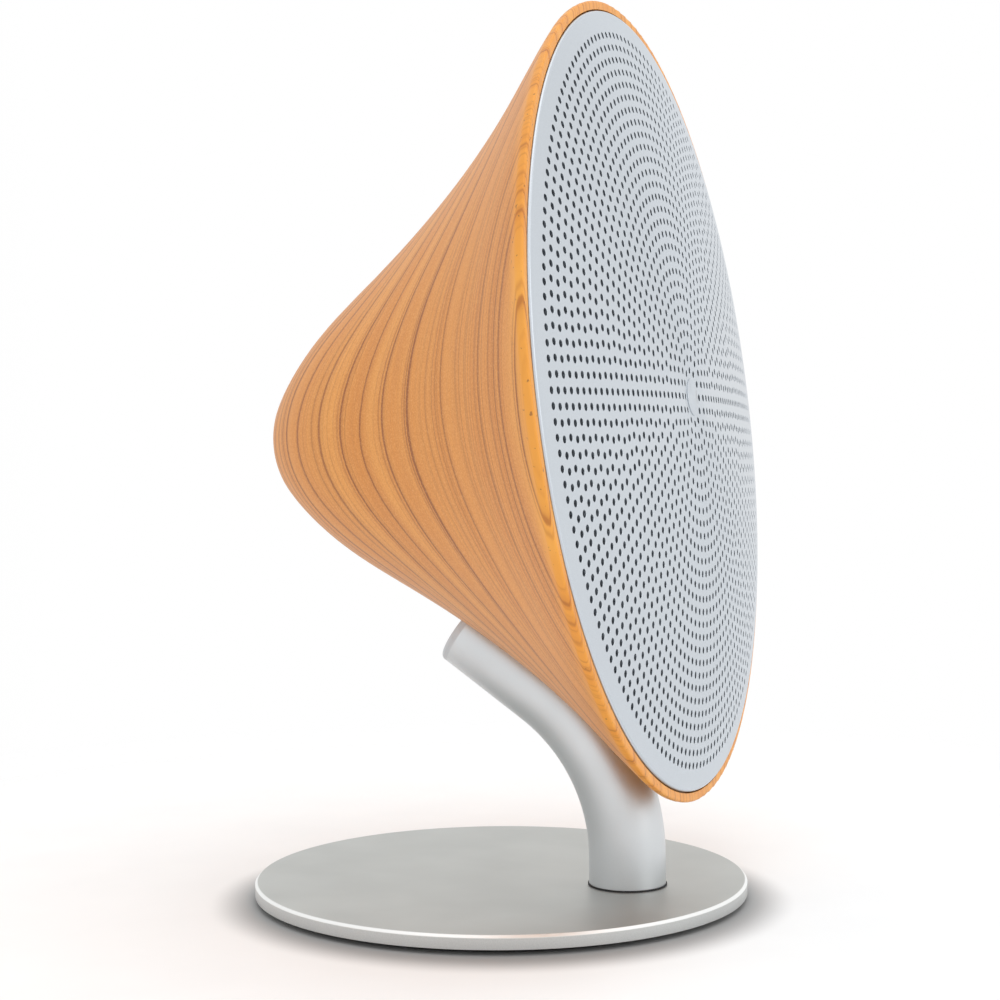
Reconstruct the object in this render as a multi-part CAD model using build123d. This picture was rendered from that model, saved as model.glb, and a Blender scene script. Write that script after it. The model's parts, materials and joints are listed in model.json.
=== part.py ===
from build123d import *
import os
from math import cos, radians, sin, sqrt

os.makedirs("parts", exist_ok=True)

# A table loudspeaker: a turned wooden horn with a perforated front, carried by a bent
# tube that stands on a round metal plate. Millimetres, +Z up, the horn faces -Y.
# The origin is on the floor, at the centre of the plate's underside.

# ---- base and stem ----
BASE_R = 65.0
FOOT_R, FOOT_T = 61.0, 1.5
PLATE_T = 3.5
PLATE_TOP = FOOT_T + PLATE_T
EDGE_CHAMFER = 0.6
TUBE_R, TUBE_WALL = 10.0, 1.5
TUBE_BORE = TUBE_R - TUBE_WALL
STEM_Y = -34.8
GASKET_T = 0.4
RISE = 6.85                      # straight stretch above the gasket
BEND_R, BEND_ANGLE = 52.5, 54.8  # the bend leaves the tube 35.2 degrees above level
REACH = 27.2                     # straight stretch above the bend
CAP_T = 2.0

# ---- screws up through the plate into the stem ----
STEM_SCREW_X, STEM_SCREW_R = 4.3, 2.0
STEM_HEAD_R, STEM_HEAD_H = 3.8, 1.8
STEM_HEAD_LOW = FOOT_T + 0.1
PLUG_TOP = 13.0

# ---- saddle: distances along the reach are counted back from the tube's end ----
SADDLE_SCREW_AT = (-25.4, -18.0)
SADDLE_R, SADDLE_LOW = 8.3, -2.0
SADDLE_ENDS = (-29.0, -14.0)
SADDLE_SCREW_R, SADDLE_HEAD_R, SADDLE_HEAD_H = 1.45, 2.75, 2.4
SEAT_HEIGHT, SEAT_PAD_R = 14.2, 4.0  # the screws' seat inside the horn, above the tube's axis
WASHER_T, WASHER_R = 0.6, 3.3
LEAD_HOLE_AT, LEAD_HOLE_R = -12.6, 1.5
CHANNEL_GAP, SLEEVE_WALL = 0.15, 3.0

# ---- end cap: charging socket, power button and light ----
SPIGOT_L, SPIGOT_WALL = 5.0, 1.0
SOCKET_Y, SOCKET_W, SOCKET_H, SOCKET_L = -5.6, 8.4, 2.8, 7.0
BUTTON_Y, POWER_R, POWER_PROUD, POWER_TRAVEL = 0.2, 2.4, 0.8, 0.6
SWITCH_W, SWITCH_H, SWITCH_TOP = 3.0, 2.8, 3.5
LED_X, LED_R = 5.2, 0.6
PORT_BOARD_TOP = -8.6
PORT_BOARD_R, PORT_BOARD_T = 7.9, 1.0

# ---- horn, in its own frame: Z forward out of the mouth, Y up ----
HORN_TILT = 7.0
HORN_ORIGIN = (0, -42.7, 130.5)
RIM_R, RIM_FRONT = 102.0, 0.6
LIP_ROUND, LIP_EDGE = 2.5, 0.6
HORN_WALL = 3.5
OUTLINE = [(16, 85.8), (40, 63.2), (67, 43.2), (88, 28.1), (99.5, 16.3)]
HORN_DEPTH = 105.2
MOUTH_R = 99.8

# ---- grille ----
GRILLE_R, GRILLE_T = 99.4, 1.0
GRILLE_EDGE, DOME_RISE = 1.2, 8.9
DOME_R = (GRILLE_R ** 2 + DOME_RISE ** 2) / (2 * DOME_RISE)
SKIRT_BACK = -1.2
EDGE_ROUND = 0.8
DIMPLE_R, DIMPLE_DEPTH, DIMPLE_FLOOR_R = 11.0, 1.0, 5.2
BADGE_R, BADGE_T = 4.1, 0.4
CLOTH_R, CLOTH_T, CLOTH_GAP = 96.5, 0.35, 0.4

# ---- baffle ----
LEDGE_Z = -1.9                   # step that the grille's foam ring rests on
BAFFLE_R, BAFFLE_T = 94.3, 2.5
BAFFLE_BACK = LEDGE_Z - BAFFLE_T
RECESS_R, SEAT_R = 94.5, 91.4
BAFFLE_SCREWS, BAFFLE_SCREW_PCR = 6, 84.5
BOSS_R, PILOT_R = 3.6, 1.3
SHANK_R = 1.25
HUB_R, HUB_BACK = 47.0, -7.4
REBATE_R, REBATE_Z = 43.3, -4.9
CUTOUT_R = 36.5

# ---- driver, back to front along the horn's axis ----
FLANGE_R, FLANGE_T = 43.0, 1.5
FLANGE_BACK = -4.4
FLANGE_FRONT = FLANGE_BACK + FLANGE_T
DRIVER_SCREWS, DRIVER_SCREW_PCR = 4, 40.2
SHELF_Z, SHELF_R = -17.5, 19.5
PLATE_FRONT, MAGNET_FRONT, MAGNET_BACK, YOKE_BACK = -22.0, -26.0, -38.0, -42.0
STEEL_R, MAGNET_R, MAGNET_BORE = 26.0, 28.5, 14.0
GAP_R, POLE_R = 11.0, 9.6
COIL_IN, COIL_FORMER, COIL_OUT = 10.1, 10.25, 10.6
CONE_RIM_R, CONE_T = 28.0, 0.5
NECK_Z = -14.0
ROLL_R, ROLL_T, LIP_W = 3.5, 0.6, 3.0

# ---- electronics ----
BOARD_W, BOARD_LOW, BOARD_HIGH, BOARD_T = 56.0, 49.0, 69.0, 1.6
BOARD_FRONT = -8.4
BOARD_BACK = BOARD_FRONT - BOARD_T
BOARD_HOLES = [(x, y) for y in (BOARD_LOW + 3, BOARD_HIGH - 3) for x in (3 - BOARD_W / 2, BOARD_W / 2 - 3)]
PLUG_X, PLUG_Y, PLUG_H = 12.0, 52.0, 5.0
CELL_R, CELL_L, CELL_Z = 9.2, 65.0, -62.0
HOLDER_BACK = -73.5
HOLDER_SCREW_Y, HOLDER_BOSS_R, HOLDER_BOSS_LOW = 15.5, 3.5, -98

STEM_LEAN = 90 - BEND_ANGLE
HORN = Plane(
    origin=HORN_ORIGIN,
    x_dir=(1, 0, 0),
    z_dir=(0, -cos(radians(HORN_TILT)), sin(radians(HORN_TILT))),
)


# ---- shared shapes ----
def turned(*outline):
    """Solid turned about Z from corners given as (radius, height)."""
    return revolve(Plane.XZ * make_face(Polyline(*outline, close=True)), Axis.Z)


def ring(inner, outer, low, high):
    """Flat ring, or a disc when inner is 0, between two heights."""
    return turned((inner, low), (outer, low), (outer, high), (inner, high))


def block(x, y, z):
    """Box between two places on each axis."""
    size = [b - a for a, b in (x, y, z)]
    middle = [(a + b) / 2 for a, b in (x, y, z)]
    return Pos(*middle) * Box(*size)


def around(shape, count, radius, start=0.0):
    """Copies of a shape spaced evenly round Z, each moved out to a radius."""
    step = 360 / count
    return [Rot(0, 0, start + i * step) * Pos(radius, 0, 0) * shape for i in range(count)]


def pan_screw(shank_r, length, head_r, head_h):
    """Screw with a domed head, seated at Z = 0, its shank pointing down."""
    shank = ring(0, shank_r, -length, 0.01)
    head = fillet(ring(0, head_r, 0, head_h).edges().group_by(Axis.Z)[-1], head_h * 0.6)
    slot = Box(head_r * 1.1, 0.7, 1.2) + Box(0.7, head_r * 1.1, 1.2)
    return shank + head - Pos(0, 0, head_h) * slot


def lead(points, bend, radius=1.0):
    """Round lead along straight runs joined by tangent arcs."""
    path = FilletPolyline(*points, radius=bend)
    start = Plane(origin=path @ 0, z_dir=path % 0)
    return sweep(start * Circle(radius), path=path)


def save(node, *shapes):
    """Write one sub-part: a solid, or a group of separate solids."""
    solids = [s for shape in shapes for s in shape.solids()]
    whole = solids[0] if len(solids) == 1 else Compound(children=solids)
    whole.label = node
    export_step(whole, f"parts/{node}.step")


def save_on_horn(node, *shapes):
    save(node, *[HORN.location * shape for shape in shapes])


# ---- stem path ----
def stem_path(extra=0.0):
    """Centre line: up from the plate, through the bend and out along the reach."""
    foot = (STEM_Y, PLATE_TOP + GASKET_T)
    rise = Line(foot, (foot[0], foot[1] + RISE))
    bend = JernArc(rise @ 1, rise % 1, BEND_R, -BEND_ANGLE)
    reach = Line(bend @ 1, bend @ 1 + (bend % 1) * (REACH + extra))
    return Plane.YZ * Wire(rise.edges() + bend.edges() + reach.edges())


def stem_solid(radius, extra=0.0):
    path = stem_path(extra)
    foot = Plane(origin=path @ 0, x_dir=(1, 0, 0), z_dir=(0, 0, 1))
    return sweep(foot * Circle(radius), path=path)


def stem_end_plane():
    """Plane on the tube's upper end: Z out of the tube, Y towards the horn."""
    lean = radians(STEM_LEAN)
    return Plane(origin=stem_path() @ 1, x_dir=(-1, 0, 0), z_dir=(0, cos(lean), sin(lean)))


STEM_END = stem_end_plane()


def save_on_stem(node, *shapes):
    save(node, *[STEM_END.location * shape for shape in shapes])


# ---- base ----
def base_plate():
    plate = ring(0, BASE_R, FOOT_T, PLATE_TOP)
    plate = chamfer(plate.edges().group_by(Axis.Z)[-1], EDGE_CHAMFER)
    hole = ring(0, STEM_SCREW_R + 0.1, FOOT_T, PLATE_TOP)
    neck = FOOT_T + STEM_HEAD_H
    sink = turned((0, FOOT_T), (STEM_HEAD_R + 0.1, FOOT_T), (STEM_SCREW_R + 0.1, neck), (0, neck))
    for x in (-STEM_SCREW_X, STEM_SCREW_X):
        plate -= Pos(x, STEM_Y, 0) * (hole + sink)
    return plate


def foot_pad():
    pad = ring(0, FOOT_R, 0, FOOT_T)
    return fillet(pad.edges().group_by(Axis.Z)[0], 0.5)


def stem_plug():
    """Insert in the tube's foot, threaded for the two screws."""
    plug = Pos(0, STEM_Y, 0) * ring(0, TUBE_BORE - 0.05, PLATE_TOP + GASKET_T, PLUG_TOP)
    for x in (-STEM_SCREW_X, STEM_SCREW_X):
        plug -= Pos(x, STEM_Y, 0) * ring(0, STEM_SCREW_R + 0.05, PLATE_TOP, PLUG_TOP)
    return plug


def stem_screw():
    low, neck, top = STEM_HEAD_LOW, STEM_HEAD_LOW + STEM_HEAD_H, PLUG_TOP - 1
    screw = turned((0, low), (STEM_HEAD_R, low), (STEM_SCREW_R, neck), (STEM_SCREW_R, top), (0, top))
    socket = extrude(Pos(0, 0, low) * RegularPolygon(1.3, 6), amount=1.2)
    return screw - socket


def build_base():
    save("base_plate", base_plate())
    save("foot_pad", foot_pad())
    gasket = ring(TUBE_BORE, TUBE_R + 0.3, PLATE_TOP, PLATE_TOP + GASKET_T)
    save("stem_gasket", Pos(0, STEM_Y, 0) * gasket)
    save("stem_plug", stem_plug())
    save("stem_screws", *[Pos(x, STEM_Y, 0) * stem_screw() for x in (-STEM_SCREW_X, STEM_SCREW_X)])


# ---- stem: the saddle screws and the lead's way into the horn ----
def across_stem(along, shape):
    """A shape turned to point across the tube, towards the horn, in the end's frame."""
    return Pos(0, 0, along) * Rot(-90, 0, 0) * shape


def stem_tube():
    tube = stem_solid(TUBE_R, -CAP_T) - stem_solid(TUBE_BORE, -CAP_T)
    for along in SADDLE_SCREW_AT:
        tube -= STEM_END.location * across_stem(along, ring(0, SADDLE_SCREW_R + 0.2, 0, TUBE_R + 2))
    return tube - STEM_END.location * across_stem(LEAD_HOLE_AT, ring(0, LEAD_HOLE_R, 0, TUBE_R + 2))


def saddle_block():
    """Half-round nut block inside the tube, under the horn."""
    nut = ring(0, SADDLE_R, *SADDLE_ENDS)
    nut &= block((-SADDLE_R, SADDLE_R), (SADDLE_LOW, SADDLE_R), SADDLE_ENDS)
    for along in SADDLE_SCREW_AT:
        nut -= across_stem(along, ring(0, SADDLE_SCREW_R + 0.05, SADDLE_LOW, TUBE_R))
    return nut


def saddle_screw():
    under_head = SEAT_HEIGHT + WASHER_T
    screw = pan_screw(SADDLE_SCREW_R, under_head - 1.0, SADDLE_HEAD_R, SADDLE_HEAD_H)
    return Pos(0, 0, under_head) * screw


def build_stem():
    save("stem_tube", stem_tube())
    save_on_stem("saddle_block", saddle_block())
    save_on_stem("saddle_screws", *[across_stem(a, saddle_screw()) for a in SADDLE_SCREW_AT])
    washer = ring(SADDLE_SCREW_R + 0.2, WASHER_R, SEAT_HEIGHT, SEAT_HEIGHT + WASHER_T)
    save_on_stem("saddle_washers", *[across_stem(a, washer) for a in SADDLE_SCREW_AT])


# ---- end cap with the charging socket and the power button ----
def socket_outline(grow=0.0):
    return SlotOverall(SOCKET_W + 2 * grow, SOCKET_H + 2 * grow)


def rear_end_cap():
    cap = fillet(ring(0, TUBE_R, -CAP_T, 0).edges().group_by(Axis.Z)[-1], 0.9)
    cap += ring(TUBE_BORE - SPIGOT_WALL, TUBE_BORE - 0.05, -CAP_T - SPIGOT_L, -CAP_T)
    cap -= extrude(Pos(0, SOCKET_Y, PORT_BOARD_TOP) * socket_outline(0.15), amount=10)
    cap -= Pos(0, BUTTON_Y, 0) * ring(0, POWER_R + 0.1, -CAP_T, 1)
    return cap - Pos(LED_X, BUTTON_Y, 0) * ring(0, LED_R + 0.05, -CAP_T, 1)


def power_button():
    """Button with a wider foot behind the cap that keeps it in."""
    stem_low = PORT_BOARD_TOP + SWITCH_TOP + POWER_TRAVEL + 0.2
    button = fillet(ring(0, POWER_R, -CAP_T - 0.2, POWER_PROUD).edges().group_by(Axis.Z)[-1], 0.4)
    button += ring(0, POWER_R + 0.6, -CAP_T - 1.2, -CAP_T - 0.05)
    return Pos(0, BUTTON_Y, 0) * (button + ring(0, 1.2, stem_low, -CAP_T - 1.2))


def power_switch():
    side, top = (-SWITCH_W, SWITCH_W), PORT_BOARD_TOP + SWITCH_H
    body = block(side, side, (PORT_BOARD_TOP, top))
    return Pos(0, BUTTON_Y, 0) * (body + ring(0, SWITCH_W / 2, top, PORT_BOARD_TOP + SWITCH_TOP))


def usb_socket():
    shell = extrude(Pos(0, SOCKET_Y, PORT_BOARD_TOP) * socket_outline(), amount=SOCKET_L + 1.2)
    hollow = extrude(Pos(0, SOCKET_Y, PORT_BOARD_TOP + 1) * socket_outline(-0.3), amount=SOCKET_L + 1.2)
    ends = (PORT_BOARD_TOP, PORT_BOARD_TOP + SOCKET_L)
    tongue = block((-3.3, 3.3), (SOCKET_Y - 0.35, SOCKET_Y + 0.35), ends)
    return shell - hollow + tongue


def port_board():
    board = ring(0, PORT_BOARD_R, PORT_BOARD_TOP - PORT_BOARD_T, PORT_BOARD_TOP)
    return board & block((-9, 9), (-9, 6.5), (PORT_BOARD_TOP - PORT_BOARD_T, PORT_BOARD_TOP))


def build_end_cap():
    save_on_stem("rear_end_cap", rear_end_cap())
    save_on_stem("power_button", power_button())
    save_on_stem("power_switch", power_switch())
    save_on_stem("usb_socket", usb_socket())
    save_on_stem("port_board", port_board())
    save_on_stem("light_pipe", Pos(LED_X, BUTTON_Y, 0) * ring(0, LED_R, -CAP_T - 2.5, -0.05))


# ---- horn shell ----
def outer_curve():
    """Outline from the end of the rim's round to the tail, as (radius, height)."""
    start = RIM_R - LIP_ROUND
    corner = LIP_ROUND * sin(radians(45))
    points = [(start + corner, -corner)] + [(r, -depth) for depth, r in OUTLINE] + [(0, -HORN_DEPTH)]
    return Spline(*points, tangents=[(-1, -1), (-1, 0)])


def inner_curve(curve):
    """Outline one wall inside the outer one, from behind the baffle's seat to the axis."""
    samples, first = 12, 0.055
    points = []
    for i in range(samples):
        at = first + (1 - first) * i / samples
        along = curve % at
        here = curve @ at
        points.append((here.X + HORN_WALL * along.Y, here.Y - HORN_WALL * along.X))
    points.append((0, HORN_WALL - HORN_DEPTH))
    return Spline(*points, tangents=[(-1, -1), (-1, 0)])


def outer_solid():
    curve = outer_curve()
    back_round = CenterArc((RIM_R - LIP_ROUND, 0), LIP_ROUND, 0, -45)
    edge = CenterArc((RIM_R - LIP_EDGE, 0), LIP_EDGE, 90, -90)
    front = Line((0, RIM_FRONT), edge @ 0)
    axis = Line(curve @ 1, (0, RIM_FRONT))
    return revolve(Plane.XZ * make_face([front, edge, back_round, curve, axis]), Axis.Z)


def mouth():
    """The stepped opening: the grille's seat, the baffle's recess and the way in."""
    inner = inner_curve(outer_curve())
    begin = inner @ 0
    ahead, seat = RIM_FRONT + 1, BAFFLE_BACK
    corners = [
        (0, ahead), (MOUTH_R, ahead), (MOUTH_R, LEDGE_Z), (RECESS_R, LEDGE_Z),
        (RECESS_R, seat), (SEAT_R, seat), (SEAT_R, begin.Y), (begin.X, begin.Y),
    ]
    steps = Polyline(*corners)
    back = Line(inner @ 1, corners[0])
    return revolve(Plane.XZ * make_face([steps, inner, back]), Axis.Z)


def to_horn(shape):
    """Bring a shape from the row's frame into the horn's own frame."""
    return HORN.location.inverse() * shape


def saddle_sleeve():
    """Thicker wood round the channel that the tube lies in, with flats for the screws."""
    sleeve = stem_solid(TUBE_R + CHANNEL_GAP + SLEEVE_WALL, SLEEVE_WALL)
    for along in SADDLE_SCREW_AT:
        sleeve += STEM_END.location * across_stem(along, ring(0, SEAT_PAD_R, 0, SEAT_HEIGHT))
    return to_horn(sleeve)


def horn_shell():
    outside = outer_solid()
    bosses = around(ring(0, BOSS_R, -24, BAFFLE_BACK), BAFFLE_SCREWS, BAFFLE_SCREW_PCR, 30)
    holder_boss = ring(0, HOLDER_BOSS_R, HOLDER_BOSS_LOW, HOLDER_BACK)
    bosses += [Pos(0, y, 0) * holder_boss for y in (-HOLDER_SCREW_Y, HOLDER_SCREW_Y)]
    inside = saddle_sleeve()
    for boss in bosses:
        inside += boss
    shell = outside - mouth() + (inside & outside)
    shell -= to_horn(stem_solid(TUBE_R + CHANNEL_GAP, 0.3))
    for along in SADDLE_SCREW_AT:
        hole = ring(0, SADDLE_SCREW_R + 0.2, 0, SEAT_HEIGHT + 1)
        shell -= to_horn(STEM_END.location * across_stem(along, hole))
    lead_hole = ring(0, LEAD_HOLE_R, 0, SEAT_HEIGHT + 4)
    shell -= to_horn(STEM_END.location * across_stem(LEAD_HOLE_AT, lead_hole))
    for pilot in around(ring(0, PILOT_R, -15, BAFFLE_BACK), BAFFLE_SCREWS, BAFFLE_SCREW_PCR, 30):
        shell -= pilot
    for y in (-HOLDER_SCREW_Y, HOLDER_SCREW_Y):
        shell -= Pos(0, y, 0) * ring(0, PILOT_R, HOLDER_BACK - 8, HOLDER_BACK)
    return shell


# ---- grille ----
def dome_height(radius):
    """Height of the grille's outer face, which is part of a large sphere."""
    return GRILLE_EDGE + sqrt(DOME_R ** 2 - radius ** 2) - sqrt(DOME_R ** 2 - GRILLE_R ** 2)


def dimple_floor():
    return dome_height(0) - DIMPLE_DEPTH


def sheet_lines(reach, drop):
    """Section of the domed sheet, a drop below its outer face: dimple floor, its slope, dome."""
    floor = (DIMPLE_FLOOR_R, dimple_floor() - drop)
    brim = (DIMPLE_R, dome_height(DIMPLE_R) - drop)
    middle = (DIMPLE_R + reach) / 2
    flat = Line((0, floor[1]), floor)
    slope = Spline(floor, brim, tangents=[(1, 0), (1, -DIMPLE_R / DOME_R)])
    halfway, end = (middle, dome_height(middle) - drop), (reach, dome_height(reach) - drop)
    return [flat, slope, ThreePointArc(brim, halfway, end)]


def domed_sheet(reach, drop, thick):
    """Domed sheet between two drops, square at its edge."""
    front, back = sheet_lines(reach, drop), sheet_lines(reach, drop + thick)
    axis = Line(front[0] @ 0, back[0] @ 0)
    edge = Line(front[2] @ 1, back[2] @ 1)
    return revolve(Plane.XZ * make_face(front + back + [axis, edge]), Axis.Z)


def grille():
    """Dome with a rounded edge and a turned-back skirt, before it is perforated."""
    under = GRILLE_R - GRILLE_T
    front, back = sheet_lines(GRILLE_R, 0), sheet_lines(under, GRILLE_T)
    axis = Line(front[0] @ 0, back[0] @ 0)
    skirt = Polyline(front[2] @ 1, (GRILLE_R, SKIRT_BACK), (under, SKIRT_BACK), back[2] @ 1)
    section = make_face(front + back + [axis, skirt])
    corner = section.vertices().sort_by(lambda v: (round(v.X, 2), v.Y))[-1]
    return revolve(Plane.XZ * fillet(corner, EDGE_ROUND), Axis.Z)


def grille_badge():
    """Plain round badge glued in the dimple."""
    badge = ring(0, BADGE_R, dimple_floor(), dimple_floor() + BADGE_T)
    return fillet(badge.edges().group_by(Axis.Z)[-1], BADGE_T * 0.6)


def build_front():
    save_on_horn("grille", grille())
    save_on_horn("grille_badge", grille_badge())
    save_on_horn("acoustic_cloth", domed_sheet(CLOTH_R, GRILLE_T + CLOTH_GAP, CLOTH_T))
    save_on_horn("grille_gasket", ring(GRILLE_R - 2.8, GRILLE_R, LEDGE_Z, SKIRT_BACK))


# ---- baffle ----
def baffle():
    plate = ring(0, BAFFLE_R, BAFFLE_BACK, LEDGE_Z) + ring(0, HUB_R, HUB_BACK, BAFFLE_BACK)
    for x, y in BOARD_HOLES:
        plate += Pos(x, y, 0) * ring(0, 2.6, BOARD_FRONT, BAFFLE_BACK)
        plate -= Pos(x, y, 0) * ring(0, 1.0, BOARD_FRONT, BAFFLE_BACK + 1)
    plate -= ring(0, REBATE_R, REBATE_Z, LEDGE_Z)
    plate -= ring(0, CUTOUT_R, HUB_BACK, LEDGE_Z)
    sink = turned(
        (0, LEDGE_Z), (2.9, LEDGE_Z), (1.6, LEDGE_Z - 1.3), (1.6, BAFFLE_BACK), (0, BAFFLE_BACK)
    )
    for hole in around(sink, BAFFLE_SCREWS, BAFFLE_SCREW_PCR, 30):
        plate -= hole
    for hole in around(ring(0, 1.0, HUB_BACK, REBATE_Z), DRIVER_SCREWS, DRIVER_SCREW_PCR, 45):
        plate -= hole
    return plate


def baffle_screw():
    top = LEDGE_Z - 0.05
    screw = turned((0, top), (2.75, top), (SHANK_R, top - 1.5), (SHANK_R, -13), (0, -13.8))
    slot = Box(3, 0.6, 1.4) + Box(0.6, 3, 1.4)
    return screw - Pos(0, 0, top) * slot


def build_baffle():
    save_on_horn("baffle", baffle())
    save_on_horn("baffle_screws", *around(baffle_screw(), BAFFLE_SCREWS, BAFFLE_SCREW_PCR, 30))


# ---- driver ----
def driver_gasket():
    gasket = ring(CUTOUT_R + 0.2, FLANGE_R, REBATE_Z, FLANGE_BACK)
    for hole in around(ring(0, 1.4, REBATE_Z, FLANGE_BACK), DRIVER_SCREWS, DRIVER_SCREW_PCR, 45):
        gasket -= hole
    return gasket


def driver_basket():
    """Pressed frame: flange, sloping cage with windows, spider shelf and seat for the plate."""
    low, top, shelf = PLATE_FRONT, PLATE_FRONT + 1.0, SHELF_Z + 1.0
    basket = turned(
        (34.6, FLANGE_FRONT), (FLANGE_R, FLANGE_FRONT), (FLANGE_R, FLANGE_BACK), (36.0, FLANGE_BACK),
        (25.2, shelf), (25.2, low), (12.5, low), (12.5, top), (24.0, top), (24.0, SHELF_Z),
        (SHELF_R, SHELF_Z), (SHELF_R, shelf), (24.0, shelf), (34.6, FLANGE_BACK - 0.6),
    )
    window = block((24.6, 34.0), (-8.5, 8.5), (SHELF_Z + 1.6, FLANGE_BACK - 2.6))
    for cut in around(window, 4, 0, 0):
        basket -= cut
    for hole in around(ring(0, 1.4, FLANGE_BACK, FLANGE_FRONT), DRIVER_SCREWS, DRIVER_SCREW_PCR, 45):
        basket -= hole
    ear = block((-5, 5), (23.0, 37), (SHELF_Z + 0.2, SHELF_Z + 1.2))
    return basket + (ear - ring(0, 24.5, -30, 0))


def driver_yoke():
    """Back plate with the pole piece."""
    return ring(0, STEEL_R, YOKE_BACK, MAGNET_BACK) + ring(0, POLE_R, MAGNET_BACK, PLATE_FRONT)


def cone():
    """Paper cone, glued to the coil former at its neck."""
    return turned(
        (COIL_FORMER, NECK_Z), (COIL_FORMER + 0.6, NECK_Z), (25.6, FLANGE_FRONT - CONE_T),
        (CONE_RIM_R, FLANGE_FRONT - CONE_T), (CONE_RIM_R, FLANGE_FRONT), (25.2, FLANGE_FRONT),
        (COIL_FORMER, NECK_Z + 0.7),
    )


def dust_cap():
    """Shallow dome glued over the cone's neck."""
    cap_r, cap_rise, thick = 12.0, 3.0, 0.4
    slope = (FLANGE_FRONT - NECK_Z - 0.7) / (25.2 - COIL_FORMER)
    base = NECK_Z + 0.7 + (cap_r - COIL_FORMER) * slope + 0.02
    outer = ThreePointArc((-cap_r, base), (0, base + cap_rise), (cap_r, base))
    inner = ThreePointArc((-cap_r + thick, base), (0, base + cap_rise - thick), (cap_r - thick, base))
    rims = [Line(outer @ 0, inner @ 0), Line(inner @ 1, outer @ 1)]
    half = make_face([outer, inner] + rims) & Pos(cap_r, base) * Rectangle(2 * cap_r, 4 * cap_rise)
    return revolve(Plane.XZ * half, Axis.Z)


def surround():
    """Half-roll of rubber between the cone's rim and the flange."""
    base = FLANGE_FRONT
    middle = CONE_RIM_R + ROLL_R
    outer = CenterArc((middle, base), ROLL_R + ROLL_T / 2, 0, 180)
    inner = CenterArc((middle, base), ROLL_R - ROLL_T / 2, 0, 180)
    roll = make_face([outer, inner, Line(outer @ 0, inner @ 0), Line(outer @ 1, inner @ 1)])
    lips = Rectangle(LIP_W, ROLL_T, align=(Align.MAX, Align.MIN))
    near = Pos(middle - ROLL_R + ROLL_T / 2, base) * lips
    far = Pos(middle + ROLL_R - ROLL_T / 2 + LIP_W, base) * lips
    return revolve(Plane.XZ * (roll + near + far), Axis.Z)


def spider():
    """Corrugated centring ring from the former to the shelf."""
    low = SHELF_Z + 1
    waves, rise, thick = 3, 0.7, 0.35
    start, end = COIL_FORMER + 0.7, SHELF_R - 0.3
    step = (end - start) / (4 * waves)
    tops = [(start + i * step, low + rise * (i % 4 in (1, 2))) for i in range(4 * waves + 1)]
    line = [(COIL_FORMER, low)] + tops + [(SHELF_R + 2, low)]
    return turned(*line, *[(r, z + thick) for r, z in reversed(line)])


def voice_coil():
    return ring(COIL_FORMER, COIL_OUT, -27.0, -21.0)


def terminal_strip():
    strip = block((-5, 5), (28, 37), (SHELF_Z - 1.2, SHELF_Z + 0.2))
    for x in (-3, 3):
        strip += block((x - 1, x + 1), (33, 35), (SHELF_Z - 3.2, SHELF_Z - 1.2))
    return strip


def driver_screw():
    place = Pos(0, 0, FLANGE_FRONT)
    return place * pan_screw(0.95, 4.6, 2.2, 0.7)


def build_driver():
    save_on_horn("driver_gasket", driver_gasket())
    save_on_horn("driver_basket", driver_basket())
    save_on_horn("driver_screws", *around(driver_screw(), DRIVER_SCREWS, DRIVER_SCREW_PCR, 45))
    save_on_horn("driver_top_plate", ring(GAP_R, STEEL_R, MAGNET_FRONT, PLATE_FRONT))
    save_on_horn("driver_magnet", ring(MAGNET_BORE, MAGNET_R, MAGNET_BACK, MAGNET_FRONT))
    save_on_horn("driver_yoke", driver_yoke())
    save_on_horn("coil_former", ring(COIL_IN, COIL_FORMER, -28.5, NECK_Z + 1.6))
    save_on_horn("voice_coil", voice_coil())
    save_on_horn("cone", cone())
    save_on_horn("dust_cap", dust_cap())
    save_on_horn("surround", surround())
    save_on_horn("spider", spider())
    save_on_horn("terminal_strip", terminal_strip())


# ---- electronics ----
def main_board():
    board = block((-BOARD_W / 2, BOARD_W / 2), (BOARD_LOW, BOARD_HIGH), (BOARD_BACK, BOARD_FRONT))
    for x, y in BOARD_HOLES:
        board -= Pos(x, y, 0) * ring(0, 1.2, BOARD_BACK, BOARD_FRONT)
    return board


def board_screws():
    screw = Pos(0, 0, BOARD_BACK) * Rot(180, 0, 0) * pan_screw(0.95, 4.2, 2.0, 1.3)
    return [Pos(x, y, 0) * screw for x, y in BOARD_HOLES]


def board_chips():
    """Radio module, amplifier chip and two coils on the board's back."""
    back = BOARD_BACK
    module = block((-20, -6), (57, 68), (back - 2.4, back))
    amplifier = block((2, 9), (60, 67), (back - 1.2, back))
    coils = [Pos(x, 63, 0) * ring(0, 3, back - 4, back) for x in (13, 19.8)]
    return [module, amplifier] + coils


def board_connectors():
    """Three plug housings along the board's lower edge."""
    depth = (BOARD_BACK - PLUG_H, BOARD_BACK)
    return [block((x - 3, x + 3), (PLUG_Y - 2, PLUG_Y + 2.5), depth) for x in (-PLUG_X, 0, PLUG_X)]


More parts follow.
